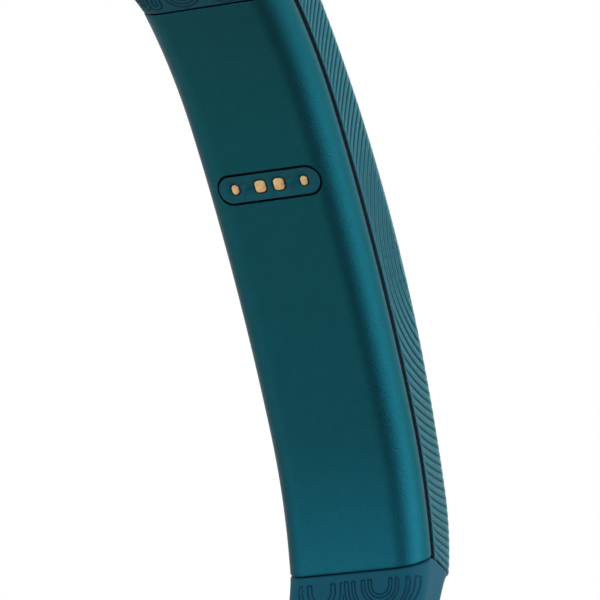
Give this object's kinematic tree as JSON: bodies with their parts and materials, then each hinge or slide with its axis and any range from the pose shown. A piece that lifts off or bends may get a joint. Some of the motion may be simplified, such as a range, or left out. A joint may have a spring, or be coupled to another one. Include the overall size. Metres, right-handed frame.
{
  "type": "fitness tracker band",
  "caption": "Slim curved activity band lying on its side edge, straps open: satin metal module with gold charging contacts, soft straps, sliding clasp with lever, and hook.",
  "frame": {"origin": "middle of the module's lower side edge, on the plane the band lies on", "axes": "+X along the module towards the long strap, +Y from the module towards the wrist, +Z across the band's width"},
  "size_m": [0.078, 0.1069, 0.0115],
  "materials": {
    "shell_metal": "satin",
    "cover_metal": "satin, ridged",
    "black_gasket": "matt",
    "black_nylon": "matt",
    "steel": "satin",
    "dark_steel": "satin",
    "battery_foil": "satin",
    "circuit_board": "satin",
    "chip_black": "matt",
    "white_board": "matt",
    "clear_plastic": "gloss",
    "copper": "satin",
    "inlay_plastic": "satin",
    "gold": "polished",
    "strap_rubber": "matt",
    "clasp_metal": "satin"
  },
  "bodies": {
    "module": {"inner_shell": "shell_metal", "outer_cover": "cover_metal", "seam_gasket": "black_gasket", "chassis": "black_nylon", "board_screws": "steel", "battery": "battery_foil", "main_board": "circuit_board", "processor_chip": "chip_black", "radio_chip": "chip_black", "motion_chip": "chip_black", "power_chip": "chip_black", "led_board": "white_board", "light_guide": "clear_plastic", "antenna": "copper", "motor_can": "steel", "charge_inlay": "inlay_plastic", "inlay_gasket": "black_gasket", "contact_1": "gold", "contact_2": "gold", "contact_3": "gold", "contact_4": "gold", "contact_flex": "copper", "charge_magnets": "steel", "long_anchor": "black_nylon", "short_anchor": "black_nylon", "anchor_pins": "steel", "long_strap_root": "strap_rubber", "short_strap_root": "strap_rubber"},
    "motor_weight": {"motor_rotor": "dark_steel"},
    "long_near": {"long_strap_a": "strap_rubber"},
    "long_far": {"long_strap_b": "strap_rubber", "tail_stop": "clasp_metal", "tail_rivet": "steel"},
    "slider": {"slider_frame": "clasp_metal", "lever_pin": "steel"},
    "lever": {"slider_lever": "clasp_metal"},
    "short_near": {"short_strap_a": "strap_rubber"},
    "short_far": {"short_strap_b": "strap_rubber", "hook_plate": "clasp_metal", "hook_rivets": "steel"}
  },
  "joints": [
    {"name": "long_flex_near", "type": "hinge", "parent": "module", "child": "long_near", "pos_m": [0.03018, 0.01106, 0.00575], "axis": [0, 0, 1], "range_deg": [-25, 20], "stiffness_Nm_per_rad": 0.03},
    {"name": "long_flex_far", "type": "hinge", "parent": "long_near", "child": "long_far", "pos_m": [0.03746, 0.02548, 0.00575], "axis": [0, 0, 1], "range_deg": [-25, 20], "stiffness_Nm_per_rad": 0.03},
    {"name": "clasp_slide", "type": "hinge", "parent": "long_far", "child": "slider", "pos_m": [-0.05304, 0.03863, 0.00575], "axis": [0, 0, 1], "range_deg": [-14, 17]},
    {"name": "lever_pivot", "type": "hinge", "parent": "slider", "child": "lever", "pos_m": [0.03764, 0.06505, 0.00575], "axis": [0, 0, -1], "range_deg": [0, 85]},
    {"name": "short_flex_near", "type": "hinge", "parent": "module", "child": "short_near", "pos_m": [-0.03013, 0.0112, 0.00575], "axis": [0, 0, -1], "range_deg": [-25, 20], "stiffness_Nm_per_rad": 0.03},
    {"name": "short_flex_far", "type": "hinge", "parent": "short_near", "child": "short_far", "pos_m": [-0.03652, 0.02607, 0.00575], "axis": [0, 0, -1], "range_deg": [-25, 20], "stiffness_Nm_per_rad": 0.03},
    {"name": "motor_spin", "type": "hinge", "parent": "module", "child": "motor_weight", "pos_m": [0.0156, 0.00135, 0.00575], "axis": [0, 0, 1], "continuous": true}
  ]
}
